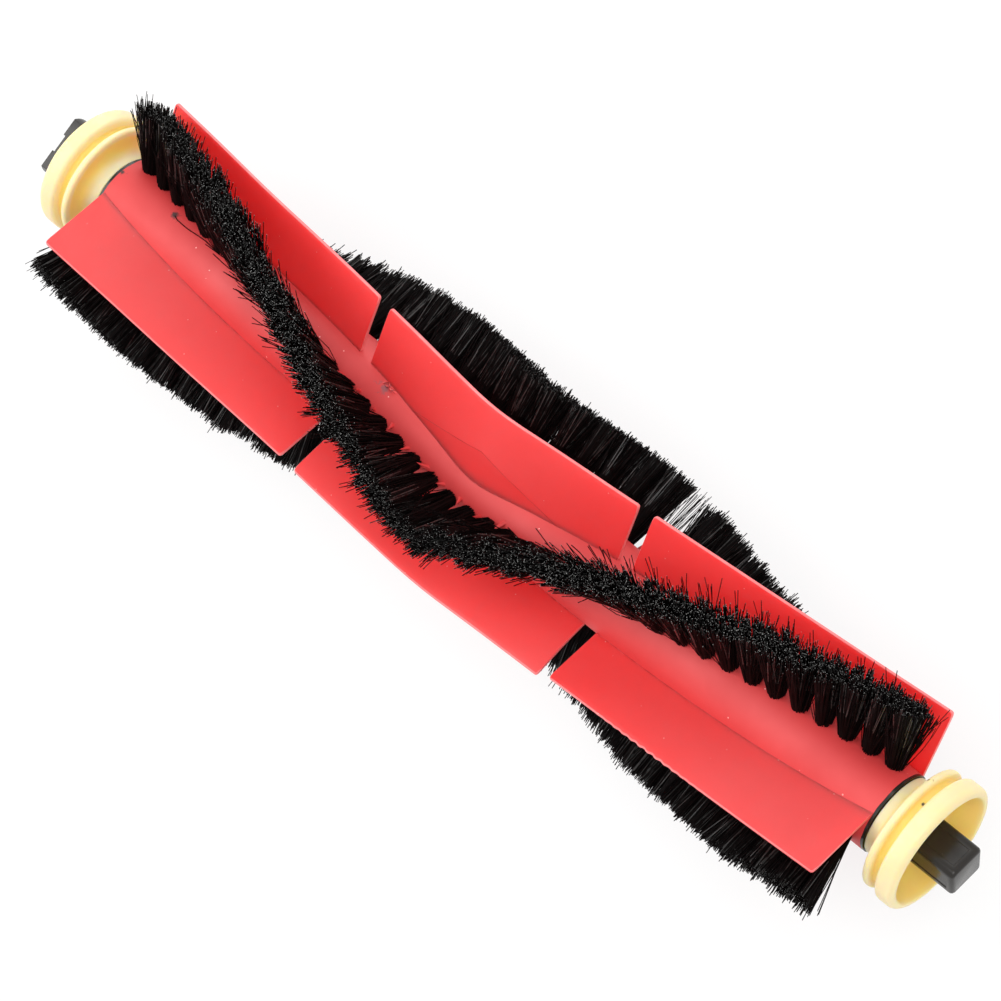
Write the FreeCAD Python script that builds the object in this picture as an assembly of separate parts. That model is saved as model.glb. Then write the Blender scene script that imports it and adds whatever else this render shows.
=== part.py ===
"""Roller brush for a floor-cleaning robot: a moulded shaft with a finned body, three bristle rows and
two loose end bushes. Millimetres. X runs along the shaft towards its square end, Z is up, and the
roller lies as it rests on a floor. Angles are measured about X, from straight up towards +Y.
"""
import os

import FreeCAD
import Part
from math import atan, cos, radians, sin, tan

# Finned body, one soft moulding
body_length = 160.0
body_radius = 6.75
row_count = 3
blade_height = 16.7
blade_angle = 49.5
blade_offset_middle = -5.6
blade_offset_end = 5.15
blade_thickness = 0.6
blade_corner_radius = 0.45
bend_radius = 40.0
notch_place = 27.0
notch_width = 2.7

# Bristle tufts, set in blind holes that follow a V along each row
tuft_count = 40
tuft_margin = 2.7
tuft_sweep = 101.3
bristle_reach = 19.3
tuft_tip_width = 3.9
tuft_tip_thickness = 5.8
tuft_clearance = 0.02
hole_width = 2.7
hole_depth = 3.4

# Wire anchors under the tufts, at the bottom of their holes
anchor_width = 2.4
anchor_thickness = 0.4
anchor_height = 0.9

# Shaft, one hard moulding with a square end and a tang
shaft_radius = 2.9
moulding_gap = 0.02
rim_thickness = 0.55
journal_radius = 5.0
neck_radius = 4.8
bead_height = 0.25
bead_ramp = 0.65
square_side = 6.3
square_corner_bevel = 0.6
square_angle = 19.0
square_length = 8.4
tang_width = 10.4
tang_thickness = 5.0
tang_length = 9.0
tang_notch_width = 3.0
tang_notch_depth = 0.4
tang_angle = -8.0
end_bevel = 0.5

# Bushes, alike at both ends and free to turn on the shaft
running_clearance = 0.05
axial_play = 0.15
hub_length = 4.25
collar_radius = 6.6
collar_length = 2.7
flange_width = 1.2
flange_radius = 10.25
groove_width = 1.4
groove_radius = 8.9
rim_width = 3.3
rim_radius = 10.7
rim_bevel = 1.2
lip_radius = 9.8
lip_width = 0.5
cup_floor_radius = 7.9

ORIGIN = FreeCAD.Vector(0, 0, 0)
ALONG = FreeCAD.Vector(1, 0, 0)
UP = FreeCAD.Vector(0, 0, 1)

half_body = body_length / 2
rim_end = half_body + rim_thickness
bush_start = rim_end + axial_play
hub_end = bush_start + hub_length
bead_start = hub_end + axial_play
neck_start = bead_start + bead_ramp
tuft_span = body_length - 2 * tuft_margin
offset_slope = (blade_offset_end - blade_offset_middle) / half_body
bend_angle = atan(offset_slope)
hole_floor = body_radius - hole_depth
row_angles = [360.0 / row_count * row for row in range(row_count)]


def around(angle, height, side, x):
    """A point at a height along the direction of angle, with a step to the side of it."""
    turn = radians(angle)
    y = height * sin(turn) + side * cos(turn)
    z = height * cos(turn) - side * sin(turn)
    return FreeCAD.Vector(x, y, z)


def line(start, end):
    return Part.LineSegment(start, end).toShape()


def arc(start, middle, end):
    return Part.Arc(start, middle, end).toShape()


def loop(points):
    return Part.makePolygon(points + points[:1])


def save(shape, node):
    shape.exportStep("parts/" + node + ".step")


def blade_offset(x):
    """Distance of a blade's middle plane from the axis: a V along the roller."""
    return blade_offset_middle + offset_slope * abs(x)


def solid_between(lower, upper):
    """A closed solid with flat sides between two outlines of as many corners."""
    faces = [Part.Face(loop(lower)), Part.Face(loop(upper))]
    for corner in range(len(lower)):
        faces.append(Part.Face(loop([lower[corner - 1], lower[corner], upper[corner], upper[corner - 1]])))
    return Part.Solid(Part.makeShell(faces))


def straight_outline(angle, start, end):
    """Outline of a straight blade, seen along its direction."""
    half = blade_thickness / 2
    corners = [(start, -half), (end, -half), (end, half), (start, half)]
    return loop([around(angle, 0, blade_offset(x) + step, x) for x, step in corners])


def bent_outline(angle, reach):
    """Outline of the middle blade, seen along its direction: two runs joined by a bend."""
    half = blade_thickness / 2
    bend_reach = bend_radius * tan(bend_angle)
    bend_offset = blade_offset(bend_reach) - bend_reach * tan(bend_angle / 2)

    def point(x, step):
        return around(angle, 0, blade_offset(x) + step, x)

    def run(step, way):
        bend_in = point(-way * bend_reach, step)
        bend_top = around(angle, 0, bend_offset + step, 0)
        bend_out = point(way * bend_reach, step)
        first = line(point(-way * reach, step), bend_in)
        last = line(bend_out, point(way * reach, step))
        return [first, arc(bend_in, bend_top, bend_out), last]

    far_end = line(point(reach, -half), point(reach, half))
    near_end = line(point(-reach, half), point(-reach, -half))
    return Part.Wire(run(-half, 1) + [far_end] + run(half, -1) + [near_end])


def round_tip_corners(blade, angle):
    """Round the corners where a blade's ends meet its free edge."""
    turn = radians(angle)
    outward = FreeCAD.Vector(0, sin(turn), cos(turn))

    def is_tip_corner(edge):
        first, last = edge.firstVertex().Point, edge.lastVertex().Point
        at_tip = min(first.dot(outward), last.dot(outward)) > blade_height - 1e-6
        return at_tip and abs(first.x - last.x) < 1e-6

    return blade.makeFillet(blade_corner_radius, [e for e in blade.Edges if is_tip_corner(e)])


def make_blades(angle):
    """One fin: a bent middle blade and a straight blade on each side of it."""
    inner = notch_place - notch_width / 2
    outer = notch_place + notch_width / 2
    outlines = [
        straight_outline(angle, -half_body, -outer),
        bent_outline(angle, inner),
        straight_outline(angle, outer, half_body),
    ]
    rise = around(angle, blade_height, 0, 0)
    return [round_tip_corners(Part.Face(outline).extrude(rise), angle) for outline in outlines]


def tuft_places(row_angle):
    """The place along the shaft and the angle of every tuft of a row."""
    pitch = tuft_span / (tuft_count - 1)
    slope = tuft_sweep / (tuft_span / 2)
    places = []
    for tuft in range(tuft_count):
        x = tuft * pitch - tuft_span / 2
        places.append((x, row_angle - tuft_sweep / 2 + slope * abs(x)))
    return places


def section(x, angle, height, width, thickness):
    """Four corners of a section across the direction of angle, width lying along the shaft."""
    across = [(-width, -thickness), (width, -thickness), (width, thickness), (-width, thickness)]
    return [around(angle, height, side / 2, x + step / 2) for step, side in across]


def post(x, angle, height, width, thickness, rise):
    """A straight post that rises along the direction of angle."""
    foot = Part.Face(loop(section(x, angle, height, width, thickness)))
    return foot.extrude(around(angle, rise, 0, 0))


def make_hole(x, angle):
    return post(x, angle, hole_floor, hole_width, hole_width, hole_depth + hole_width)


def make_anchor(x, angle):
    return post(x, angle, hole_floor, anchor_width, anchor_thickness, anchor_height)


def make_tuft(x, angle):
    """A tuft stands on its anchor, fills its hole's mouth and opens out evenly to its tips."""
    mouth = hole_width - 2 * tuft_clearance
    foot = hole_floor + anchor_height
    sunk = (body_radius - foot) / (bristle_reach - body_radius)
    foot_width = mouth - sunk * (tuft_tip_width - mouth)
    foot_thickness = mouth - sunk * (tuft_tip_thickness - mouth)
    lower = section(x, angle, foot, foot_width, foot_thickness)
    upper = section(x, angle, bristle_reach, tuft_tip_width, tuft_tip_thickness)
    return solid_between(lower, upper)


def make_body():
    """Round body, fused with its fins, bored for the shaft and drilled for the tufts."""
    end = FreeCAD.Vector(-half_body, 0, 0)
    body = Part.makeCylinder(body_radius, body_length, end, ALONG)
    blades = [blade for row in row_angles for blade in make_blades(row + blade_angle)]
    body = body.multiFuse(blades).removeSplitter()
    bore = Part.makeCylinder(shaft_radius + moulding_gap, body_length, end, ALONG)
    holes = [make_hole(x, angle) for row in row_angles for x, angle in tuft_places(row)]
    return body.cut([bore] + holes)


def turned(points):
    """A solid of revolution about the shaft from (x, radius) points."""
    outline = Part.Face(loop([FreeCAD.Vector(x, 0, radius) for x, radius in points]))
    return outline.revolve(ORIGIN, ALONG, 360)


def make_square_end():
    """Square drive end, its long corners bevelled and its end bevelled all round."""
    half = square_side / 2
    bar = Part.makeBox(square_length, square_side, square_side, FreeCAD.Vector(neck_start, -half, -half))
    long_edges = [e for e in bar.Edges if abs(e.firstVertex().Point.x - e.lastVertex().Point.x) > 1e-6]
    bar = bar.makeChamfer(square_corner_bevel, long_edges)
    end_face = max(bar.Faces, key=lambda face: face.CenterOfMass.x)
    bar = bar.makeChamfer(end_bevel, end_face.Edges)
    bar.rotate(ORIGIN, ALONG, -square_angle)
    return bar


def make_tang():
    """Flat drive tang with two raised lobes on its end."""
    tang_end = neck_start + tang_length
    rod = Part.makeCylinder(tang_width / 2, tang_length, FreeCAD.Vector(-tang_end, 0, 0), ALONG)
    slab_corner = FreeCAD.Vector(-tang_end, -tang_width, -tang_thickness / 2)
    slab = Part.makeBox(tang_length, 2 * tang_width, tang_thickness, slab_corner)
    tang = rod.common(slab)
    end_face = min(tang.Faces, key=lambda face: face.CenterOfMass.x)
    tang = tang.makeChamfer(end_bevel, end_face.Edges)
    notch_corner = FreeCAD.Vector(-tang_end, -tang_notch_width / 2, -tang_thickness)
    notch = Part.makeBox(tang_notch_depth, tang_notch_width, 2 * tang_thickness, notch_corner)
    tang = tang.cut(notch)
    tang.rotate(ORIGIN, ALONG, -tang_angle)
    return tang


def make_shaft():
    """Rod under the body, a rim, a journal and a stop bead at each end, and the two drive ends."""
    half = [
        (half_body, shaft_radius),
        (half_body, body_radius),
        (rim_end, body_radius),
        (rim_end, journal_radius),
        (bead_start, journal_radius),
        (bead_start, journal_radius + bead_height),
        (neck_start, neck_radius),
        (neck_start, 0.0),
    ]
    mirrored = [(-x, radius) for x, radius in reversed(half)]
    rod = turned(mirrored + half)
    return rod.multiFuse([make_square_end(), make_tang()]).removeSplitter()


def make_bush():
    """Bush for the square end: a collar, a thin flange, a groove and a hollow bevelled rim."""
    bore_radius = journal_radius + running_clearance
    flange_start = bush_start + collar_length
    flange_end = flange_start + flange_width
    rim_start = flange_end + groove_width
    rim_edge = rim_start + rim_width
    return turned([
        (bush_start, bore_radius),
        (bush_start, collar_radius),
        (flange_start, collar_radius),
        (flange_start, flange_radius),
        (flange_end, flange_radius),
        (flange_end, groove_radius),
        (rim_start, groove_radius),
        (rim_start, rim_radius),
        (rim_edge - rim_bevel, rim_radius),
        (rim_edge, lip_radius),
        (rim_edge, lip_radius - lip_width),
        (hub_end, cup_floor_radius),
        (hub_end, bore_radius),
    ])


os.makedirs("parts", exist_ok=True)
save(make_shaft(), "shaft")
save(make_body(), "finned_body")
for row, row_angle in enumerate(row_angles, start=1):
    places = tuft_places(row_angle)
    save(Part.makeCompound([make_anchor(x, angle) for x, angle in places]), f"tuft_anchors_{row}")
    save(Part.makeCompound([make_tuft(x, angle) for x, angle in places]), f"bristle_row_{row}")
square_end_bush = make_bush()
tang_end_bush = square_end_bush.copy()
tang_end_bush.rotate(ORIGIN, UP, 180)
save(square_end_bush, "square_end_bush")
save(tang_end_bush, "tang_end_bush")
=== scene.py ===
import random
from math import cos, exp, hypot, pi, radians, sin, sqrt

import bmesh
import bpy
from mathutils import Matrix, Vector, noise


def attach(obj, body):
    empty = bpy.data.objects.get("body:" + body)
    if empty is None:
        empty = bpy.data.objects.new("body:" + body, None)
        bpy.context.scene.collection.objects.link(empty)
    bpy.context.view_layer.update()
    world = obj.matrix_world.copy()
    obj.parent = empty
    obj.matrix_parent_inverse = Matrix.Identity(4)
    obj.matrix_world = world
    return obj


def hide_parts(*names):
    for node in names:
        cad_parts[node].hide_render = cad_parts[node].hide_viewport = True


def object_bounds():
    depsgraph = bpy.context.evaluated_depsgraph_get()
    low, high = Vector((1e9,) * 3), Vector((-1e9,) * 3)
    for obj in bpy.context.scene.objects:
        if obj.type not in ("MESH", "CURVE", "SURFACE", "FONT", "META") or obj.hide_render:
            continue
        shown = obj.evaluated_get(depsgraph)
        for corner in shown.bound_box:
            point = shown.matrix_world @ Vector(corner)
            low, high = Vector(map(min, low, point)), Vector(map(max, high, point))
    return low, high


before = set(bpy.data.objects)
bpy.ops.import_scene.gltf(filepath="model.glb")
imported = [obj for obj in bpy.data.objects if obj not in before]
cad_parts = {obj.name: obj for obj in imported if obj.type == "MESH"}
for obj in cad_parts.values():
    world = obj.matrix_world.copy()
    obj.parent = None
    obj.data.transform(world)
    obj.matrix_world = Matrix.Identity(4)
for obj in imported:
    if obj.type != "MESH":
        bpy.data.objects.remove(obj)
cad_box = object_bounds()
mm = 0.001


# Shaft: one black plastic moulding that runs through the soft body. Each end has a thin rim, a journal
# for its bush and a stop bead, then a drive end: a rounded square on one side, a notched tang on the other.
body_half = 80.0
rim_end = 80.55
bead_start = 85.1
neck_start = 85.75
body_radius = 6.75
shaft_radius = 2.9
journal_radius = 5.0
bead_radius = 5.25
neck_radius = 4.8
square_side = 6.3
square_length = 8.4
square_turn = radians(-19)
square_corner_radius = 0.95
square_end_radius = 0.6
smallest_flat = 20.0
panel_margin = 0.7
panel_groove_width = 0.12
panel_groove_depth = 0.1
tang_width = 10.4
tang_thickness = 5.0
tang_length = 9.0
tang_lobe = 0.4
tang_notch_width = 3.0
tang_turn = radians(8)
tang_edge_radius = 0.35
tang_segments = 64
shaft_segments = 72
pole_radius = 0.01
sharp_angle = 40
merge_distance = 0.001
tolerance = 0.01


def turn_profile(bm, profile, steps):
    """Spins a closed line of (x, radius) corners about the shaft."""
    corners = [bm.verts.new((x * mm, 0, radius * mm)) for x, radius in profile]
    lines = [bm.edges.new((corners[i - 1], corners[i])) for i in range(len(corners))]
    bmesh.ops.spin(bm, geom=corners + lines, cent=(0, 0, 0), axis=(1, 0, 0), angle=2 * pi, steps=steps,
                   use_merge=True)
    bmesh.ops.remove_doubles(bm, verts=bm.verts, dist=merge_distance * mm)
    bmesh.ops.recalc_face_normals(bm, faces=bm.faces)


def round_edges(bm, edges, radius, segments):
    """Rounds edges to a radius in millimetres."""
    bmesh.ops.bevel(bm, geom=edges, offset=radius * mm, offset_type="OFFSET", affect="EDGES",
                    segments=segments, profile=0.5, material=-1, clamp_overlap=True)


def sharp_edges(bm, angle):
    """The edges whose faces meet at more than an angle in degrees."""
    return [e for e in bm.edges if e.calc_face_angle(0) > radians(angle)]


def join(bm, other, place=Matrix()):
    """Adds a finished bmesh to another one, at a place."""
    copy = bpy.data.meshes.new("copy")
    other.to_mesh(copy)
    copy.transform(place)
    bm.from_mesh(copy)
    bpy.data.meshes.remove(copy)


def piece(name, bm, materials, body, slot, *nodes):
    """Makes a bmesh an object that rides its body and stands for its nodes."""
    for face in bm.faces:
        face.smooth = True
    for edge in bm.edges:
        edge.smooth = edge.calc_face_angle(0) < radians(sharp_angle)
    mesh = bpy.data.meshes.new(name)
    bm.to_mesh(mesh)
    bm.free()
    for material in materials:
        mesh.materials.append(material)
    obj = bpy.data.objects.new(name, mesh)
    bpy.context.collection.objects.link(obj)
    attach(obj, body)
    if nodes:
        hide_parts(*nodes)
    return obj


def put(tree, kind, **sockets):
    """Adds a node and fills its named sockets with values or with other nodes' outputs."""
    node = tree.nodes.new(kind)
    for name, value in sockets.items():
        socket = node.inputs[name.replace("_", " ")]
        if isinstance(value, bpy.types.NodeSocket):
            tree.links.new(value, socket)
        else:
            socket.default_value = value
    return node


def make_moulded_surface():
    """Node group for moulded plastic and rubber: fine grain, broad mottle and scattered dust specks."""
    group = bpy.data.node_groups.new("moulded_surface", "ShaderNodeTree")
    for name in ("Grain Scale", "Mottle Scale", "Speck Scale", "Speck Size"):
        group.interface.new_socket(name, in_out="INPUT", socket_type="NodeSocketFloat")
    for name in ("Grain", "Mottle", "Specks"):
        group.interface.new_socket(name, in_out="OUTPUT", socket_type="NodeSocketFloat")
    ins = group.nodes.new("NodeGroupInput").outputs
    out = group.nodes.new("NodeGroupOutput")
    place = group.nodes.new("ShaderNodeTexCoord").outputs["Object"]
    grain = put(group, "ShaderNodeTexNoise", Vector=place, Scale=ins["Grain Scale"], Detail=4.0,
                Roughness=0.6)
    mottle = put(group, "ShaderNodeTexNoise", Vector=place, Scale=ins["Mottle Scale"], Detail=3.0,
                 Roughness=0.55)
    cells = put(group, "ShaderNodeTexVoronoi", Vector=place, Scale=ins["Speck Scale"], Randomness=1.0)
    specks = group.nodes.new("ShaderNodeMath")
    specks.operation = "LESS_THAN"
    group.links.new(cells.outputs["Distance"], specks.inputs[0])
    group.links.new(ins["Speck Size"], specks.inputs[1])
    group.links.new(grain.outputs[0], out.inputs["Grain"])
    group.links.new(mottle.outputs[0], out.inputs["Mottle"])
    group.links.new(specks.outputs[0], out.inputs["Specks"])
    return group


moulded_surface = make_moulded_surface()


def blend(tree, factor, first, second):
    """Mixes two colours by a factor."""
    mix = tree.nodes.new("ShaderNodeMix")
    mix.data_type = "RGBA"
    tree.links.new(factor, mix.inputs["Factor"])
    for socket, value in ((mix.inputs[6], first), (mix.inputs[7], second)):
        if isinstance(value, bpy.types.NodeSocket):
            tree.links.new(value, socket)
        else:
            socket.default_value = (*value, 1)
    return mix.outputs[2]


def spread(tree, value, low, high, start=0.3, end=0.7):
    """Spreads a value between start and end over a range from low to high."""
    limits = {"From_Min": start, "From_Max": end, "To_Min": low, "To_Max": high}
    return put(tree, "ShaderNodeMapRange", Value=value, **limits).outputs[0]


def moulded_material(name, colours, speck_colour, roughness, scales, bump):
    """A moulded material: mottled between two colours, with specks, uneven gloss and a fine grain."""
    material = bpy.data.materials.new(name)
    material.use_nodes = True
    tree = material.node_tree
    surface = tree.nodes["Principled BSDF"]
    mould = tree.nodes.new("ShaderNodeGroup")
    mould.node_tree = moulded_surface
    for socket, value in zip(mould.inputs, scales):
        socket.default_value = value
    mottle = spread(tree, mould.outputs["Mottle"], low=0, high=1)
    colour = blend(tree, mottle, *colours)
    colour = blend(tree, mould.outputs["Specks"], colour, speck_colour)
    tree.links.new(colour, surface.inputs["Base Color"])
    tree.links.new(spread(tree, mould.outputs["Mottle"], *roughness), surface.inputs["Roughness"])
    relief = put(tree, "ShaderNodeBump", Strength=bump, Distance=0.02 * mm, Height=mould.outputs["Grain"])
    tree.links.new(relief.outputs[0], surface.inputs["Normal"])
    return material, tree, surface


black_plastic, tree, surface = moulded_material(
    "black_plastic", colours=((0.022, 0.019, 0.016), (0.014, 0.012, 0.011)), speck_colour=(0.06, 0.055, 0.05),
    roughness=(0.16, 0.27), scales=(2600, 260, 900, 0.05), bump=0.25)
surface.inputs["Specular IOR Level"].default_value = 0.3

half_profile = [
    (body_half, shaft_radius), (body_half, body_radius), (rim_end, body_radius), (rim_end, journal_radius),
    (bead_start, journal_radius), (bead_start, bead_radius), (neck_start, neck_radius),
    (neck_start, pole_radius),
]
shaft = bmesh.new()
turn_profile(shaft, [(-x, radius) for x, radius in reversed(half_profile)] + half_profile, shaft_segments)

square = bmesh.new()
bmesh.ops.create_cube(square, size=square_side * mm)
bmesh.ops.scale(square, vec=(square_length / square_side, 1, 1), verts=square.verts)
long_edges = [e for e in square.edges if abs(e.verts[0].co.x - e.verts[1].co.x) > mm]
round_edges(square, long_edges, square_corner_radius, segments=5)
end_face = max(square.faces, key=lambda face: face.calc_center_median().x)
round_edges(square, list(end_face.edges), square_end_radius, segments=4)
flats = [face for face in square.faces
         if face.calc_area() > smallest_flat * mm * mm and abs(face.normal.x) < 0.1]
bmesh.ops.inset_individual(square, faces=flats, thickness=panel_margin * mm, depth=0)
bmesh.ops.inset_individual(square, faces=flats, thickness=panel_groove_width * mm,
                           depth=-panel_groove_depth * mm)
square_middle = Matrix.Translation(((neck_start + square_length / 2) * mm, 0, 0))
join(shaft, square, Matrix.Rotation(square_turn, 4, "X") @ square_middle)
square.free()

tang = bmesh.new()
bmesh.ops.create_cone(tang, cap_ends=True, segments=tang_segments, radius1=tang_width / 2 * mm,
                      radius2=tang_width / 2 * mm, depth=(tang_length - tang_lobe) * mm,
                      matrix=Matrix.Rotation(pi / 2, 4, "Y"))
for way in (-1, 1):
    bmesh.ops.bisect_plane(tang, geom=tang.verts[:] + tang.edges[:] + tang.faces[:],
                           plane_co=(0, 0, way * tang_thickness / 2 * mm), plane_no=(0, 0, way),
                           clear_outer=True)
bmesh.ops.holes_fill(tang, edges=tang.edges)
for way in (-1, 1):
    bmesh.ops.bisect_plane(tang, geom=tang.verts[:] + tang.edges[:] + tang.faces[:],
                           plane_co=(0, way * tang_notch_width / 2 * mm, 0), plane_no=(0, way, 0))
tang_end = min(v.co.x for v in tang.verts)
lobes = [face for face in tang.faces if face.calc_center_median().x < tang_end + tolerance * mm
         and abs(face.calc_center_median().y) > tang_notch_width / 2 * mm]
raised = bmesh.ops.extrude_face_region(tang, geom=lobes)["geom"]
bmesh.ops.delete(tang, geom=lobes, context="FACES_ONLY")
lobe_corners = [v for v in raised if isinstance(v, bmesh.types.BMVert)]
bmesh.ops.translate(tang, vec=(-tang_lobe * mm, 0, 0), verts=lobe_corners)
bmesh.ops.recalc_face_normals(tang, faces=tang.faces)
round_edges(tang, sharp_edges(tang, angle=50), tang_edge_radius, segments=3)
tang_middle = Matrix.Translation((-(neck_start + (tang_length - tang_lobe) / 2) * mm, 0, 0))
join(shaft, tang, Matrix.Rotation(tang_turn, 4, "X") @ tang_middle)
tang.free()

piece("shaft_moulding", shaft, [black_plastic], "roller", "shaft_plastic", "shaft")


# Finned body: one soft red rubber moulding around the shaft. Three fins run along it, each made of a bent
# middle blade and two straight ones, and small burrs stand between the tuft holes.
row_angles = (0, 120, 240)
fin_angle = 49.5
fin_height = 16.7
fin_foot = 2
fin_thickness = 0.6
fin_offset_middle = -5.6
fin_offset_end = 5.15
fin_corner_radius = 0.45
fin_edge_radius = 0.14
fin_bend_reach = 5.4
web_height = 5.4
web_reach = 22.0
web_bulge = 0.6
web_slope = 0.06
web_fade = 5.0
root_height = 3.8
root_steps = 40
crease_steps = 12
shade_line_radius = 0.04
shade_line_lift = 0.05
blade_step = 1.2
rise_step = 0.6
sway_depth = 0.35
sway_length = 22
sway_height = 14
lower_blade_sag = 1.5
sag_growth_length = 50
tip_ripple = 0.13
ripple_pitch = 1.65
ripple_place = 48
ripple_reach = 12
ripple_step = 0.4
ripple_power = 8
burr_reach = 34.0
burr_heights = (1.0, 2.1)
burr_stub = 0.15
burr_foot_radius = 0.5
burr_tip_radius = 0.03
burr_sunk = 0.3
burr_sides = (0.7, 1.3)
burr_lean = 0.35
curl_radius = 0.13
body_segments = 96
body_swell = 1.004
end_wave = 0.0015
end_wave_scale = 0.6
notch_place = 27.0
notch_width = 2.7
tuft_count = 40
tuft_span = 154.6
tuft_sweep = 101.3


def around(x, angle, height, side):
    """A point in the frame, from millimetres along the shaft and along and across a direction about it."""
    turn = radians(angle)
    y = height * sin(turn) + side * cos(turn)
    z = height * cos(turn) - side * sin(turn)
    return Vector((x, y, z)) * mm


def fin_offset(x):
    """How far a fin's middle plane lies from the axis: a V along the roller with a rounded bend."""
    slope = (fin_offset_end - fin_offset_middle) / body_half
    run = abs(x)
    if run < fin_bend_reach:
        run = (run * run / fin_bend_reach + fin_bend_reach) / 2
    return fin_offset_middle + slope * run


def crease_height(x):
    """How high the fold at the root of a middle blade reaches, like a low gable."""
    return root_height + web_height * max(0, 1 - abs(x) / web_reach)


def web_step(x, height):
    """How far a middle blade is folded sideways: it bulges at the crease and is set back below it."""
    fold = max(0, 1 - abs(x) / web_reach)
    depth = crease_height(x) - height
    if depth > 0:
        return depth * web_slope - fold * web_bulge
    return -fold * web_bulge * exp(depth / web_fade)


def tuft_places(row_angle):
    """Where each tuft of a row stands: its place along the shaft and its angle about it."""
    for tuft in range(tuft_count):
        x = (tuft / (tuft_count - 1) - 0.5) * tuft_span
        yield x, row_angle - tuft_sweep / 2 + tuft_sweep * abs(x) / (tuft_span / 2)


def make_blade(angle, start, end, seed, sag, ripple):
    """One blade with rounded corners and edges, laid out flat and then bent to its place."""
    blade = bmesh.new()
    corners = [(start, fin_foot), (end, fin_foot), (end, fin_height), (start, fin_height)]
    outline = [blade.verts.new((x * mm, 0, height * mm)) for x, height in corners]
    blade.faces.new(outline)
    bmesh.ops.bevel(blade, geom=outline[2:], offset=fin_corner_radius * mm, offset_type="OFFSET",
                    affect="VERTICES", segments=5, profile=0.5, material=-1)
    face = bmesh.ops.extrude_face_region(blade, geom=blade.faces[:], use_keep_orig=True)["geom"]
    moved = [v for v in face if isinstance(v, bmesh.types.BMVert)]
    bmesh.ops.translate(blade, vec=(0, fin_thickness * mm, 0), verts=moved)
    bmesh.ops.translate(blade, vec=(0, -fin_thickness / 2 * mm, 0), verts=blade.verts)
    bmesh.ops.recalc_face_normals(blade, faces=blade.faces)
    rim = [e for e in sharp_edges(blade, angle=60) if min(v.co.z for v in e.verts) > (fin_foot + 0.1) * mm]
    rim = [e for e in rim if abs(e.verts[0].co.y - e.verts[1].co.y) < tolerance * mm]
    round_edges(blade, rim, fin_edge_radius, segments=2)
    # Every face but the blade's two flat sides, that is its rims and ends, takes the lighter pink: a painted
    # highlight along the edges.
    for face in blade.faces:
        if abs(face.normal.y) < 0.98:
            face.material_index = edge_highlight_index
    steps = int((end - start) / (ripple_step if ripple else blade_step))
    cuts = [(((start + (end - start) * step / steps) * mm, 0, 0), (1, 0, 0)) for step in range(1, steps)]
    for step in range(1, int((fin_height - fin_foot) / rise_step)):
        cuts.append(((0, 0, (fin_foot + step * rise_step) * mm), (0, 0, 1)))
    for way in (-1, 1):
        cuts.append(((0, 0, crease_height(0) * mm), (way * web_height, 0, web_reach)))
    for place, across in cuts:
        bmesh.ops.bisect_plane(blade, geom=blade.verts[:] + blade.edges[:] + blade.faces[:],
                               plane_co=place, plane_no=across)
    for v in blade.verts:
        x, side, height = v.co / mm
        rise = (height - fin_foot) / (fin_height - fin_foot)
        sway = noise.noise(Vector((x / sway_length, height / sway_height, seed))) * sway_depth * rise
        sway -= sag * (1 + x / sag_growth_length) * rise * rise
        wave = ripple * sin(2 * pi * x / ripple_pitch) * max(0, 1 - abs(x - ripple_place) / ripple_reach)
        shift = fin_offset(x) + side + sway + web_step(x, height)
        v.co = around(x, angle, height + wave * rise ** ripple_power, shift)
    return blade


def lay_strand(bm, points, radius, index):
    """A thin strand laid through points, with a material of the piece."""
    strand = bmesh.new()
    heading = (points[1] - points[0]).to_track_quat("Z", "Y").to_matrix().to_4x4()
    ring = bmesh.ops.create_circle(strand, cap_ends=True, segments=4, radius=radius * mm,
                                   matrix=Matrix.Translation(points[0]) @ heading)["verts"]
    end = ring[0].link_faces[0]
    for start, stop in zip(points, points[1:]):
        grown = bmesh.ops.extrude_face_region(strand, geom=[end], use_keep_orig=start == points[0])["geom"]
        moved = [v for v in grown if isinstance(v, bmesh.types.BMVert)]
        bmesh.ops.translate(strand, vec=stop - start, verts=moved)
        end = next(face for face in grown if isinstance(face, bmesh.types.BMFace))
    bmesh.ops.recalc_face_normals(strand, faces=strand.faces)
    for face in strand.faces:
        face.material_index = index
    join(bm, strand)
    strand.free()


def stain(tree, surface, spot, size, colour):
    """Mixes a soft-edged stain around a spot into a material's colour."""
    place = tree.nodes.new("ShaderNodeTexCoord").outputs["Object"]
    wobble = put(tree, "ShaderNodeTexNoise", Vector=place, Scale=1600.0, Detail=3.0)
    apart = tree.nodes.new("ShaderNodeVectorMath")
    apart.operation = "DISTANCE"
    apart.inputs[1].default_value = spot
    tree.links.new(place, apart.inputs[0])
    far = tree.nodes.new("ShaderNodeMath")
    far.operation = "MULTIPLY"
    tree.links.new(apart.outputs["Value"], far.inputs[0])
    tree.links.new(spread(tree, wobble.outputs[0], low=0.4, high=1.6), far.inputs[1])
    near = spread(tree, far.outputs[0], low=1, high=0, start=0.35 * size * mm, end=size * mm)
    before = surface.inputs["Base Color"].links[0].from_socket
    tree.links.new(blend(tree, near, before, colour), surface.inputs["Base Color"])


def let_light_through(surface, weight, reach):
    """Lets a soft or thin moulding pass some light, by how far each colour gets in millimetres."""
    surface.inputs["Subsurface Weight"].default_value = weight
    surface.inputs["Subsurface Radius"].default_value = reach
    surface.inputs["Subsurface Scale"].default_value = mm


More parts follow.
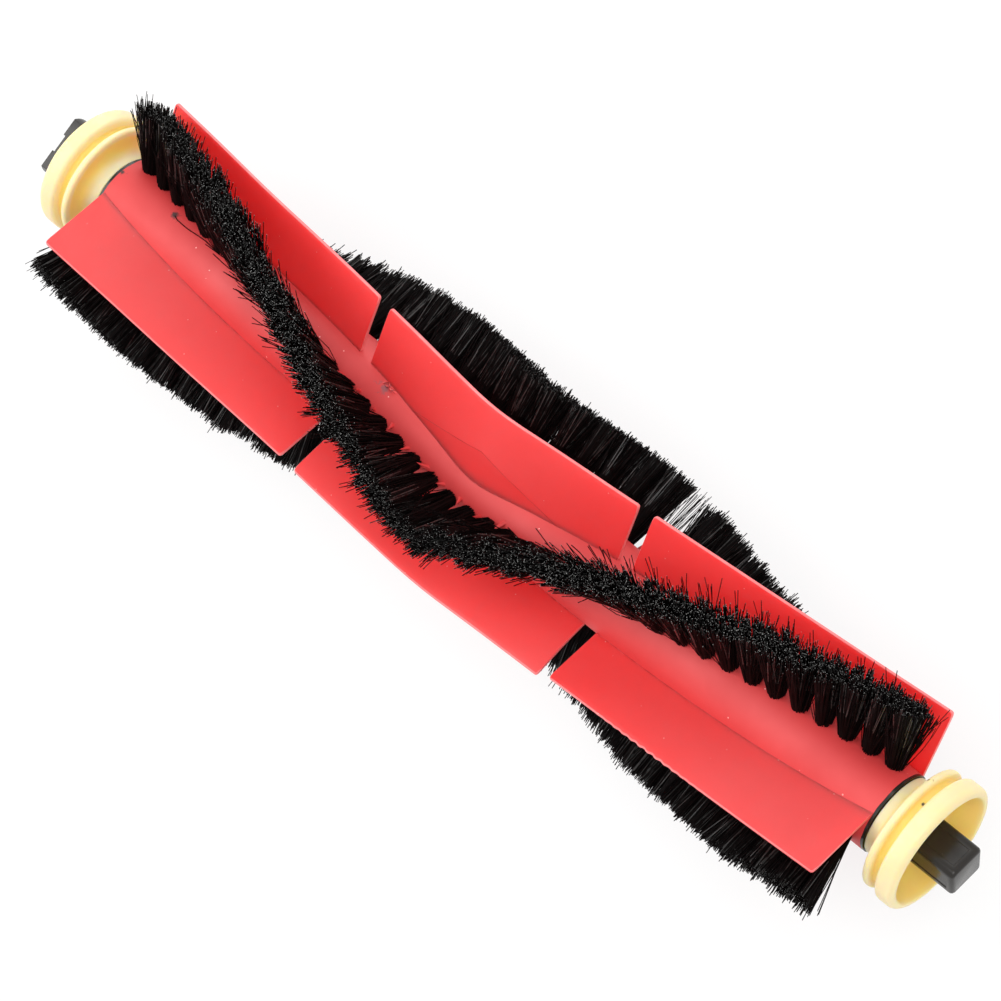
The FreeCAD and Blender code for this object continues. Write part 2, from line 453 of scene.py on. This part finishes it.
red_rubber, tree, surface = moulded_material(
    "red_rubber", colours=((0.98, 0.047, 0.048), (0.95, 0.040, 0.041)), speck_colour=(0.98, 0.30, 0.28),
    roughness=(0.46, 0.54), scales=(1500, 90, 420, 0.04), bump=0.12)
surface.inputs["Specular IOR Level"].default_value = 0.55
let_light_through(surface, weight=0.75, reach=(4.0, 0.25, 0.25))
# A lighter pink for the blades' rims and ends and for the torn curl: a painted highlight where edges catch
# the light.
red_edge_highlight, tree, surface = moulded_material(
    "red_rubber_painted_edge_highlight", colours=((0.95, 0.20, 0.20), (0.92, 0.15, 0.15)), speck_colour=(0.98, 0.45, 0.45),
    roughness=(0.35, 0.45), scales=(1500, 400, 420, 0.04), bump=0.12)
dusty_red, tree, surface = moulded_material(
    "dusty_red_rubber", colours=((0.65, 0.045, 0.046), (0.59, 0.036, 0.037)), speck_colour=(0.90, 0.40, 0.38),
    roughness=(0.52, 0.62), scales=(1500, 120, 420, 0.05), bump=0.15)
surface.inputs["Specular IOR Level"].default_value = 0.55
stain(tree, surface, around(-20.8, 14, body_radius, 0), size=1.0, colour=(0.30, 0.07, 0.08))
stain(tree, surface, around(-67.7, 18, body_radius, 0), size=0.8, colour=(0.06, 0.02, 0.02))
stain(tree, surface, around(-79.8, 18.6, body_radius, 0), size=0.5, colour=(0.05, 0.015, 0.015))
shade_red, tree, surface = moulded_material(
    "shade_red_rubber", colours=((0.68, 0.032, 0.034), (0.60, 0.024, 0.026)), speck_colour=(0.75, 0.1, 0.1),
    roughness=(0.6, 0.7), scales=(1500, 120, 420, 0.03), bump=0.12)
finned_materials = [red_rubber, red_edge_highlight, dusty_red, shade_red]
edge_highlight_index = finned_materials.index(red_edge_highlight)
core_index = finned_materials.index(dusty_red)
crease_index = finned_materials.index(shade_red)

finned = bmesh.new()
turn_profile(finned, [(-body_half, shaft_radius), (-body_half, body_radius), (body_half, body_radius),
                      (body_half, shaft_radius)], body_segments)
for v in finned.verts:
    if hypot(v.co.y, v.co.z) > (body_radius - 0.1) * mm:
        v.co.x *= 1 + end_wave + end_wave * noise.noise(v.co / mm * end_wave_scale)
        v.co.y *= body_swell
        v.co.z *= body_swell
random.seed(7)
for row_angle in row_angles:
    places = list(tuft_places(row_angle))
    for (x, angle), (next_x, next_angle) in zip(places, places[1:]):
        height = random.uniform(*burr_heights) if abs(x) < burr_reach else burr_stub
        burr = bmesh.new()
        bmesh.ops.create_cone(burr, segments=6, radius1=burr_foot_radius * mm, radius2=burr_tip_radius * mm,
                              depth=(height + 2 * burr_sunk) * mm)
        spot = around((x + next_x) / 2, (angle + next_angle) / 2, body_radius + height / 2 - burr_sunk,
                      random.uniform(*burr_sides))
        forwards = Matrix.Rotation(random.gauss(0, burr_lean), 4, "Y")
        sideways = Matrix.Rotation(random.gauss(0, burr_lean), 4, "X")
        lean = forwards @ sideways
        join(finned, burr, Matrix.Translation(spot) @ Matrix.Rotation(-radians(angle), 4, "X") @ lean)
        burr.free()
for face in finned.faces:
    face.material_index = core_index
inner_end = notch_place - notch_width / 2
outer_start = notch_place + notch_width / 2
for row_angle in row_angles:
    for start, end in ((-body_half, -outer_start), (-inner_end, inner_end), (outer_start, body_half)):
        sag = lower_blade_sag if row_angle == row_angles[2] and start == -inner_end else 0
        ripple = tip_ripple if row_angle == row_angles[2] and start == outer_start else 0
        blade = make_blade(row_angle + fin_angle, start, end, row_angle + start, sag, ripple)
        join(finned, blade)
        blade.free()
        for face_side in (-fin_thickness / 2, fin_thickness / 2):
            # A thin strand in the core's darker red along each blade's root: a painted shade line in the
            # crease where the blade meets the core.
            root = []
            for step in range(root_steps + 1):
                x = start + (end - start) * step / root_steps
                side = fin_offset(x) + face_side + web_step(x, root_height)
                height = sqrt((body_radius + shade_line_lift) ** 2 - side * side)
                root.append(around(x, row_angle + fin_angle, height, side))
            lay_strand(finned, root, shade_line_radius, core_index)
            if start == -inner_end:
                # A thin strand in the shade red along the gable fold of each middle blade: a painted shade
                # line in the fold.
                crease = []
                for step in range(-crease_steps, crease_steps + 1):
                    x = step * web_reach / (crease_steps + 0.5)
                    side = fin_offset(x) + face_side + web_step(x, crease_height(x))
                    crease.append(around(x, row_angle + fin_angle, crease_height(x), side))
                lay_strand(finned, crease, shade_line_radius, crease_index)
# A torn curl of rubber on the core, in the lighter edge pink: a painted highlight on the curl.
curl = [(-21.6, 17.6, 6.9), (-21.0, 18.6, 7.3), (-20.3, 18.4, 7.7), (-20.1, 16.8, 7.6), (-20.6, 15.8, 7.2),
        (-21.0, 16.8, 6.9), (-20.4, 17.2, 7.1), (-19.8, 15.6, 7.2), (-19.2, 16.4, 7.3), (-18.9, 17.6, 6.9)]
lay_strand(finned, [around(x, angle, height, 0) for x, angle, height in curl], curl_radius, edge_highlight_index)
piece("finned_moulding", finned, finned_materials, "roller", "body_rubber", "finned_body")


# Tuft anchors: short flat pieces of steel wire, driven into the holes with the tufts folded over them.
# They stay out of sight at the bottom of the holes.
anchor_steel = bpy.data.materials.new("anchor_steel")
anchor_steel.use_nodes = True
tree = anchor_steel.node_tree
surface = tree.nodes["Principled BSDF"]
surface.inputs["Metallic"].default_value = 1
place = tree.nodes.new("ShaderNodeTexCoord").outputs["Object"]
drawn = put(tree, "ShaderNodeTexNoise", Vector=place, Scale=1800.0)
steel_colour = blend(tree, drawn.outputs[0], (0.42, 0.41, 0.40), (0.60, 0.60, 0.60))
tree.links.new(steel_colour, surface.inputs["Base Color"])
tree.links.new(spread(tree, drawn.outputs[0], low=0.28, high=0.5), surface.inputs["Roughness"])
for row in (1, 2, 3):
    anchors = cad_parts[f"tuft_anchors_{row}"]
    anchors.data.materials.clear()
    anchors.data.materials.append(anchor_steel)


# Bristle rows: stiff black nylon filaments in tufts, forty to a row. Each tuft fills its hole, opens out
# towards its tips and runs into its neighbours, and a few filaments stand astray.
tuft_radius = 1.2
tuft_flare = 2.4
flare_play = (0.85, 1.15)
tuft_variants = 8
clump_count = 20
clump_spread = 1.5
clump_rise = 0.3
clump_pull = 0.4
filament_radius = 0.078
filament_count = 320
filament_sunk = 1.0
filament_turn = 2.39996
turn_play = 0.2
tip_scatter = 0.4
astray_share = 0.12
astray_scale = 3
filament_sway = 0.2
length_scatter = 0.38
tuft_crown = 0.25
glint_share = 0.18
glint_from = 0.5
cut_from = 0.9
bristle_reach = 19.3
filament_length = bristle_reach - body_radius
lean_scatter = 0.25
trim_scatter = 0.12
front_row = 1
front_leans = ((-80, -3.3), (-68, -1.5), (-55, 0.3), (-30, 1.3), (-8, 1.2), (8, 1.5), (14, 2.1), (32, 2.2),
               (52, 0.9), (62, -0.9), (80, -3.2))
front_trims = ((-80, -0.8), (-68, 0), (80, 0))
back_row = 2
back_trims = ((-80, -0.8), (-30, -0.5), (-18, -0.4), (-8, -0.8), (5, -0.9), (15, -0.5), (25, 0), (32, -0.6),
              (40, -1.3), (50, -1.5), (80, -0.8))
lower_leans = ((-80, 0), (0, 1.5), (12, 2.0), (45, 1.0), (80, 0))
lower_trims = ((-80, 0), (-60, 0.1), (-45, -0.2), (-30, -0.5), (0, 0), (20, 0.2), (80, 0.2))
lower_splays = ((-80, -1.6), (-70, 0), (66, 0), (80, 2.8))
sparse_tuft_number = 26
sparse_count = 30
sparse_radius = 0.055
loose_filament = ((-67.6, 17.0), (-66.7, 14.4), (-65.0, 13.8), (-63.6, 14.2), (-62.0, 15.6), (-60.6, 16.3),
                  (-58.1, 14.4))
loose_lift = 0.12
stray_count = 110
stray_backs = (1.0, 3.6)
stray_sides = (3.2, 4.6)
stray_trims = (-1.0, 0.4)
stray_bend = 0.4
hair_count = 14
hair_radius = 0.055
hair_splays = {-1: (2.2, 5.2), 1: (1.0, 3.4)}
hair_heights = (9, 13.6)
hair_sides = (-2.6, 0.6)
hair_feet = (0.6, 1.4)
hair_bend = 0.5
random.seed(11)


def make_tuft(filaments, thickness):
    """One upright tuft with its hole's mouth at the origin."""
    tuft = bmesh.new()
    clumps = []
    for number in range(clump_count):
        clumps.append(Vector((random.gauss(0, clump_spread), random.gauss(0, clump_spread),
                              random.gauss(0, clump_rise))))
    for number in range(filaments):
        spot = sqrt((number + 0.5) / filaments) * tuft_radius
        turn = number * filament_turn + random.uniform(-turn_play, turn_play)
        foot = Vector((spot * cos(turn), spot * sin(turn), 0))
        astray = astray_scale if random.random() < astray_share else 1
        tip = foot * tuft_flare * random.uniform(*flare_play)
        clump = min(clumps, key=lambda clump: (clump - tip).xy.length)
        tip = tip.lerp(clump, clump_pull)
        tip += Vector((random.gauss(0, tip_scatter), random.gauss(0, tip_scatter), 0)) * astray
        glinting = random.random() < glint_share
        sway = Vector((random.gauss(0, filament_sway), random.gauss(0, filament_sway), 0))
        rise = filament_length + random.gauss(0, length_scatter) - tuft_crown * (spot / tuft_radius) ** 2
        before = len(tuft.verts)
        upright = Matrix.Translation((0, 0, 0.5)) @ Matrix.Rotation(turn, 4, "Z")
        made = bmesh.ops.create_cone(tuft, cap_ends=True, segments=3, radius1=thickness, radius2=thickness,
                                     depth=1, matrix=upright)
        sides = {e for v in made["verts"] for e in v.link_edges
                 if abs(e.verts[0].co.z - e.verts[1].co.z) > 0.5}
        bmesh.ops.subdivide_edges(tuft, edges=list(sides), cuts=1)
        for face in {face for v in tuft.verts[before:] for face in v.link_faces}:
            part = face.calc_center_median().z
            face.material_index = plain_index
            # The cut end takes the light grey dots: painted glints.
            if part > cut_from:
                face.material_index = cut_glint_index
            # For a share of filaments the upper half takes the lighter grey: painted glints.
            elif part > glint_from and glinting:
                face.material_index = glint_index
        for v in tuft.verts[before:]:
            part = v.co.z
            line = foot.lerp(tip, part) + sway * sin(part * pi)
            height = part * (rise + filament_sunk) - filament_sunk
            v.co = Vector((v.co.x, v.co.y, 0)) + line + Vector((0, 0, height))
    bmesh.ops.scale(tuft, vec=(mm, mm, mm), verts=tuft.verts)
    return tuft


def along(corners, x):
    """The height at x of a line drawn through (x, height) corners."""
    for (start, low), (end, high) in zip(corners, corners[1:]):
        if start <= x <= end:
            return low + (high - low) * (x - start) / (end - start)


def lean_tuft(row, x):
    """How a tuft leans and is trimmed: a little at random, and as its row is worn at that place."""
    sideways = random.gauss(0, lean_scatter)
    forwards = random.gauss(0, lean_scatter)
    trim = random.gauss(0, trim_scatter)
    if row == front_row:
        sideways += along(front_leans, x)
        trim += along(front_trims, x)
    elif row == back_row:
        trim += along(back_trims, x)
    else:
        sideways += along(lower_leans, x)
        forwards += along(lower_splays, x)
        trim += along(lower_trims, x)
    return Matrix(((1, 0, forwards / filament_length, 0), (0, 1, sideways / filament_length, 0),
                   (0, 0, 1 + trim / filament_length, 0), (0, 0, 0, 1)))


def add_strays(bristles, row_angle):
    """Bent filaments that stand out of the front row and lean back towards the tang end."""
    for x, angle in random.choices(list(tuft_places(row_angle)), k=stray_count):
        back = random.uniform(*stray_backs)
        side = along(front_leans, x) + random.uniform(*stray_sides) * (1 if x > 0 else -1)
        tall = filament_length + random.uniform(*stray_trims)
        bend = random.gauss(0, stray_bend)
        stray = []
        for part in (0, 0.2, 0.4, 0.6, 0.8, 1):
            bow = bend * sin(part * pi)
            stray.append(around(x - back * part ** 2, angle, body_radius + tall * part, side * part + bow))
        lay_strand(bristles, stray, filament_radius, plain_index)


def add_end_hairs(bristles, row_angle, way):
    """Fine hairs that fan out past the last tuft at one end of a row."""
    for number in range(hair_count):
        outward = way * random.uniform(*hair_splays[way])
        bend = random.gauss(0, hair_bend)
        tall = random.uniform(*hair_heights)
        side = random.uniform(*hair_sides)
        foot = way * (tuft_span / 2 + random.uniform(*hair_feet))
        hair = []
        for part in (0, 0.25, 0.5, 0.75, 1):
            bow = sin(part * pi) * bend
            x = foot + outward * part + bow
            hair.append(around(x, row_angle + tuft_sweep / 2, body_radius + tall * part, side * part + bow))
        lay_strand(bristles, hair, hair_radius, plain_index)


def make_nylon(name, dark, light, roughness, scale, start, end, gloss):
    """Black nylon, mottled between two colours by a noise that is spread from start to end."""
    nylon = bpy.data.materials.new(name)
    nylon.use_nodes = True
    tree = nylon.node_tree
    surface = tree.nodes["Principled BSDF"]
    place = tree.nodes.new("ShaderNodeTexCoord").outputs["Object"]
    strand = put(tree, "ShaderNodeTexNoise", Vector=place, Scale=scale).outputs[0]
    colour = blend(tree, spread(tree, strand, 0, 1, start, end), dark, light)
    tree.links.new(colour, surface.inputs["Base Color"])
    tree.links.new(spread(tree, strand, *roughness), surface.inputs["Roughness"])
    surface.inputs["Specular IOR Level"].default_value = gloss
    return nylon


bristle_nylon = make_nylon(
    "bristle_nylon", dark=(0.003, 0.0022, 0.0022), light=(0.006, 0.0045, 0.0045), roughness=(0.45, 0.6),
    scale=900.0, start=0.3, end=0.7, gloss=0.04)
# Light grey dots on the filaments' cut ends: painted glints at the tips.
cut_end_glints = make_nylon(
    "cut_ends_painted_glints", dark=(0.004, 0.004, 0.004), light=(0.32, 0.32, 0.31), roughness=(0.4, 0.5),
    scale=2400.0, start=0.48, end=0.62, gloss=0.25)
# A lighter grey on the upper halves of some filaments: painted glints where they catch the light, on top of a
# real higher gloss.
glint_nylon = make_nylon(
    "glint_nylon", dark=(0.008, 0.008, 0.008), light=(0.05, 0.049, 0.047), roughness=(0.25, 0.35),
    scale=900.0, start=0.3, end=0.7, gloss=0.25)
bristle_materials = [bristle_nylon, cut_end_glints, glint_nylon]
plain_index = bristle_materials.index(bristle_nylon)
cut_glint_index = bristle_materials.index(cut_end_glints)
glint_index = bristle_materials.index(glint_nylon)

tufts = [make_tuft(filament_count, filament_radius) for variant in range(tuft_variants)]
sparse_tuft = make_tuft(sparse_count, sparse_radius)
for row, row_angle in enumerate(row_angles, start=1):
    bristles = bmesh.new()
    for number, (x, angle) in enumerate(tuft_places(row_angle)):
        tuft = sparse_tuft if (row, number) == (back_row, sparse_tuft_number) else random.choice(tufts)
        lean = lean_tuft(row, x)
        hole = Matrix.Translation(around(x, angle, body_radius, 0))
        stand = hole @ Matrix.Rotation(-radians(angle), 4, "X")
        join(bristles, tuft, stand @ lean @ Matrix.Rotation(random.uniform(0, 2 * pi), 4, "Z"))
    if row == front_row:
        loose = [around(x, angle, body_radius + loose_lift, 0) for x, angle in loose_filament]
        lay_strand(bristles, loose, filament_radius, plain_index)
        add_strays(bristles, row_angle)
    add_end_hairs(bristles, row_angle, -1)
    if row == front_row:
        add_end_hairs(bristles, row_angle, 1)
    piece(f"bristles_{row}", bristles, bristle_materials, "roller", "bristles", f"bristle_row_{row}")
for tuft in tufts + [sparse_tuft]:
    tuft.free()


# End bushes: pale yellow plastic mouldings that are alike at both ends and run loose on the journals.
# Each has a flared collar, a thin flange, a groove and a crowned rim around an open cup.
bush_start = 80.7
bush_bore = 5.05
hub_end = 84.95
collar_radius = 6.6
flange_start = 83.4
flange_end = 84.6
flange_radius = 10.25
groove_radius = 8.9
rim_start = 86.0
rim_edge = 89.3
rim_radius = 10.7
lip_inner_radius = 9.3
cup_floor_radius = 7.9
bush_segments = 96
# Radii and places along the shaft where the bush's recesses are painted a deeper yellow for their shade.
recess_shade_radii = (9.0, 9.6)
recess_shade_places = (flange_start - 1.6, flange_start - 0.4)
recess_shade_colour = (0.92, 0.67, 0.165)
speck_size = 0.35
speck_colour = (0.02, 0.015, 0.01)

pale_plastic, tree, surface = moulded_material(
    "pale_yellow_plastic", colours=((0.83, 0.69, 0.41), (0.80, 0.66, 0.37)), speck_colour=(0.78, 0.60, 0.25),
    roughness=(0.42, 0.52), scales=(2200, 160, 300, 0.03), bump=0.12)
place = put(tree, "ShaderNodeSeparateXYZ", Vector=tree.nodes.new("ShaderNodeTexCoord").outputs["Object"])
flat = put(tree, "ShaderNodeCombineXYZ", Y=place.outputs["Y"], Z=place.outputs["Z"])
reach = tree.nodes.new("ShaderNodeVectorMath")
reach.operation = "LENGTH"
tree.links.new(flat.outputs[0], reach.inputs[0])
outward = tree.nodes.new("ShaderNodeMath")
outward.operation = "ABSOLUTE"
tree.links.new(place.outputs["X"], outward.inputs[0])
# The groove, the inner face of the flange and the cup take a deeper yellow by radius and by place along the
# shaft: painted shade in these recesses.
inward = spread(tree, reach.outputs["Value"], low=1, high=0, start=recess_shade_radii[0] * mm, end=recess_shade_radii[1] * mm)
hollow = spread(tree, outward.outputs[0], low=0, high=1, start=recess_shade_places[0] * mm, end=recess_shade_places[1] * mm)
recess_shade = tree.nodes.new("ShaderNodeMath")
recess_shade.operation = "MULTIPLY"
tree.links.new(inward, recess_shade.inputs[0])
tree.links.new(hollow, recess_shade.inputs[1])
outer_colour = surface.inputs["Base Color"].links[0].from_socket
tree.links.new(blend(tree, recess_shade.outputs[0], outer_colour, recess_shade_colour), surface.inputs["Base Color"])
let_light_through(surface, weight=0.7, reach=(3.0, 2.0, 0.4))
stain(tree, surface, around(85.35, 21.5, groove_radius, 0), speck_size, speck_colour)
stain(tree, surface, around(83.6, 39.8, flange_radius, 0), speck_size, speck_colour)


def round_ring(bm, x, radius, bevel, segments):
    """Rounds the ring edge at a place along the shaft."""
    ring = [e for e in bm.edges
            if all(abs(v.co.x - x * mm) < tolerance * mm
                   and abs(hypot(v.co.y, v.co.z) - radius * mm) < tolerance * mm for v in e.verts)]
    round_edges(bm, ring, bevel, segments)


def make_bush():
    """The square end's bush: a profile spun about the shaft, with its rings rounded."""
    bush = bmesh.new()
    turn_profile(bush, [
        (bush_start, bush_bore), (bush_start, collar_radius), (flange_start, collar_radius),
        (flange_start, flange_radius), (flange_end, flange_radius), (flange_end, groove_radius),
        (rim_start, groove_radius), (rim_start, rim_radius), (rim_edge, rim_radius),
        (rim_edge, lip_inner_radius), (hub_end, cup_floor_radius), (hub_end, bush_bore),
    ], bush_segments)
    for x, radius, bevel, segments in (
            (flange_start, collar_radius, 2.0, 6), (flange_start, flange_radius, 0.5, 4),
            (flange_end, flange_radius, 0.5, 4), (flange_end, groove_radius, 0.45, 3),
            (rim_start, groove_radius, 0.45, 3), (rim_start, rim_radius, 0.7, 4),
            (rim_edge, rim_radius, 1.1, 6), (rim_edge, lip_inner_radius, 0.3, 3),
            (bush_start, collar_radius, 0.2, 2), (hub_end, cup_floor_radius, 0.5, 3)):
        round_ring(bush, x, radius, bevel, segments)
    return bush


piece("square_bush", make_bush(), [pale_plastic], "square_end_bush", "bush_plastic", "square_end_bush")
tang_bush = make_bush()
bmesh.ops.rotate(tang_bush, cent=(0, 0, 0), matrix=Matrix.Rotation(pi, 3, "Z"), verts=tang_bush.verts)
piece("tang_bush", tang_bush, [pale_plastic], "tang_end_bush", "bush_plastic", "tang_end_bush")


# Studio: a plain white floor that keeps a faint shadow, an even white surround and four large soft lamps,
# with the camera above the roller's square end.
floor_size = 6.0
floor_drop = 0.2
floor = bmesh.new()
bmesh.ops.create_grid(floor, x_segments=1, y_segments=1, size=floor_size / 2,
                      matrix=Matrix.Translation((0, 0, cad_box[0].z - floor_drop * mm)))
floor_mesh = bpy.data.meshes.new("floor")
floor.to_mesh(floor_mesh)
floor.free()


def white_rays(tree):
    """One for rays that see the surround as plain white: the camera's, and those of gloss and glass."""
    rays = tree.nodes.new("ShaderNodeLightPath").outputs
    total = rays["Is Camera Ray"]
    for name in ("Is Glossy Ray", "Is Transmission Ray"):
        most = tree.nodes.new("ShaderNodeMath")
        most.operation = "MAXIMUM"
        tree.links.new(total, most.inputs[0])
        tree.links.new(rays[name], most.inputs[1])
        total = most.outputs[0]
    return total


floor_white = bpy.data.materials.new("floor_white")
floor_white.use_nodes = True
tree = floor_white.node_tree
tree.nodes.remove(tree.nodes["Principled BSDF"])
shade = put(tree, "ShaderNodeBsdfDiffuse", Color=(0.85, 0.85, 0.85, 1))
faint = put(tree, "ShaderNodeBsdfDiffuse", Color=(0.18, 0.18, 0.18, 1))
glow = put(tree, "ShaderNodeEmission", Color=(0.80, 0.80, 0.80, 1), Strength=1.0)
seen = tree.nodes.new("ShaderNodeAddShader")
tree.links.new(faint.outputs[0], seen.inputs[0])
tree.links.new(glow.outputs[0], seen.inputs[1])
mix = put(tree, "ShaderNodeMixShader", Fac=white_rays(tree))
tree.links.new(shade.outputs[0], mix.inputs[1])
tree.links.new(seen.outputs[0], mix.inputs[2])
tree.links.new(mix.outputs[0], tree.nodes["Material Output"].inputs["Surface"])
floor_mesh.materials.append(floor_white)
floor_object = bpy.data.objects.new("floor", floor_mesh)
bpy.context.collection.objects.link(floor_object)

world = bpy.data.worlds.new("studio")
world.use_nodes = True
bpy.context.scene.world = world
tree = world.node_tree
level = put(tree, "ShaderNodeMapRange", Value=white_rays(tree), To_Min=0.75, To_Max=1.0)
tree.links.new(level.outputs[0], tree.nodes["Background"].inputs["Strength"])
tree.nodes["Background"].inputs["Color"].default_value = (1, 1, 1, 1)


def add_lamp(name, place, size, power):
    """A round soft lamp that faces the roller."""
    lamp = bpy.data.lights.new(name, "AREA")
    lamp.shape = "DISK"
    lamp.size = size
    lamp.energy = power
    obj = bpy.data.objects.new(name, lamp)
    obj.location = place
    obj.rotation_euler = (-Vector(place)).to_track_quat("-Z", "Y").to_euler()
    bpy.context.collection.objects.link(obj)


add_lamp("key_lamp", place=(0.4, 0.0, 1.0), size=0.8, power=4.6)
add_lamp("fill_lamp", place=(-0.6, -0.35, 0.75), size=0.7, power=5.2)
add_lamp("back_lamp", place=(-0.45, 0.65, 0.75), size=0.7, power=1.8)
add_lamp("rim_lamp", place=(-0.55, 0.9, 0.3), size=0.6, power=2.4)

camera_place = (0.25297, -0.0208, 0.5657)
camera_right = Vector((0.7120, 0.6386, -0.2921))
camera_up = Vector((-0.5740, 0.7689, 0.2817))
camera_back = camera_right.cross(camera_up)
camera_data = bpy.data.cameras.new("camera")
camera_data.sensor_width = 36
camera_data.lens = 149.2
camera = bpy.data.objects.new("camera", camera_data)
camera_turn = Matrix((camera_right, camera_up, camera_back)).transposed().to_4x4()
camera.matrix_world = Matrix.Translation(camera_place) @ camera_turn
bpy.context.collection.objects.link(camera)
bpy.context.scene.camera = camera
bpy.context.scene.view_settings.view_transform = "Standard"
